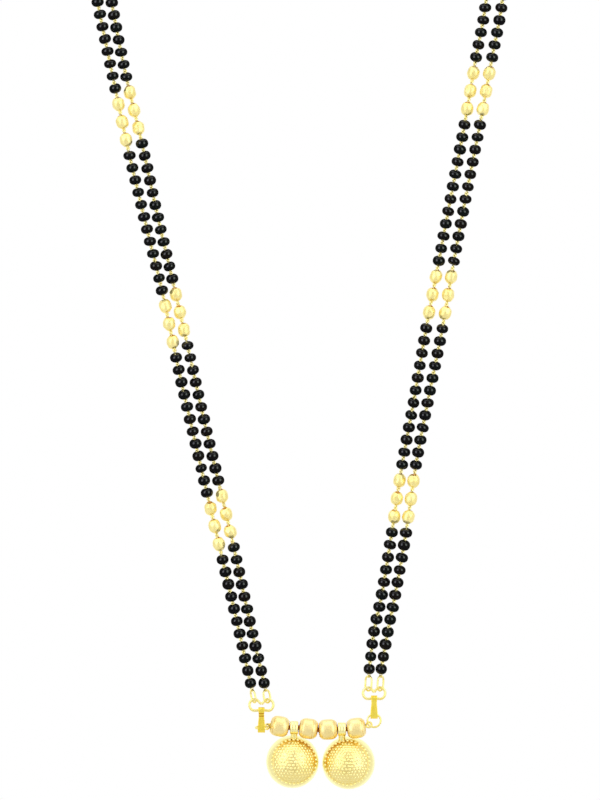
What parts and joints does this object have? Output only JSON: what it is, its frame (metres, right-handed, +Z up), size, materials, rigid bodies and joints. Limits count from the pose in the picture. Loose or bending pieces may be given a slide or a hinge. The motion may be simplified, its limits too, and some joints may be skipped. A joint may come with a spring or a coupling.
{
  "type": "mangalsutra",
  "caption": "Long double-strand mangalsutra of black and gold beads on linked wire, with drum beads and two domed vatis that swing on a short gold bar.",
  "frame": {"origin": "middle of the nape, where the two strands lie on the back of the neck", "axes": "+Z up, -Y to the wearer's front, +X to the right of the necklace seen from the front"},
  "size_m": [0.112, 0.0866, 0.2252],
  "materials": {
    "polished_gold": "polished gold plate",
    "satin_gold": "fine satin and diamond-cut gold plate",
    "gold_wire": "bright gold-plated wire",
    "black_beads": "glossy opaque black glass"
  },
  "bodies": {
    "necklace": {"pendant_wire": "gold_wire", "drum_bead_1": "satin_gold", "drum_bead_2": "satin_gold", "drum_bead_3": "satin_gold", "drum_bead_4": "satin_gold", "end_ring_left": "gold_wire", "end_ring_right": "gold_wire", "strip_hook_left": "gold_wire", "strip_hook_right": "gold_wire", "double_ring_left": "gold_wire", "double_ring_right": "gold_wire", "strand_ring_outer_left": "gold_wire", "strand_ring_inner_left": "gold_wire", "strand_ring_inner_right": "gold_wire", "strand_ring_outer_right": "gold_wire", "strand_outer_left": "black_beads", "strand_inner_left": "black_beads", "strand_inner_right": "black_beads", "strand_outer_right": "black_beads", "gold_beads_outer_left": "satin_gold", "gold_beads_inner_left": "satin_gold", "gold_beads_inner_right": "satin_gold", "gold_beads_outer_right": "satin_gold"},
    "vati_left": {"vati_left": "polished_gold"},
    "vati_right": {"vati_right": "polished_gold"}
  },
  "joints": [
    {"name": "vati_left_swing", "type": "hinge", "parent": "necklace", "child": "vati_left", "pos_m": [-0.00098, -0.08, -0.2059], "axis": [1, 0, 0], "range_deg": [-100, 100]},
    {"name": "vati_right_swing", "type": "hinge", "parent": "necklace", "child": "vati_right", "pos_m": [0.01097, -0.08, -0.20627], "axis": [1, 0, 0], "range_deg": [-100, 100]}
  ]
}
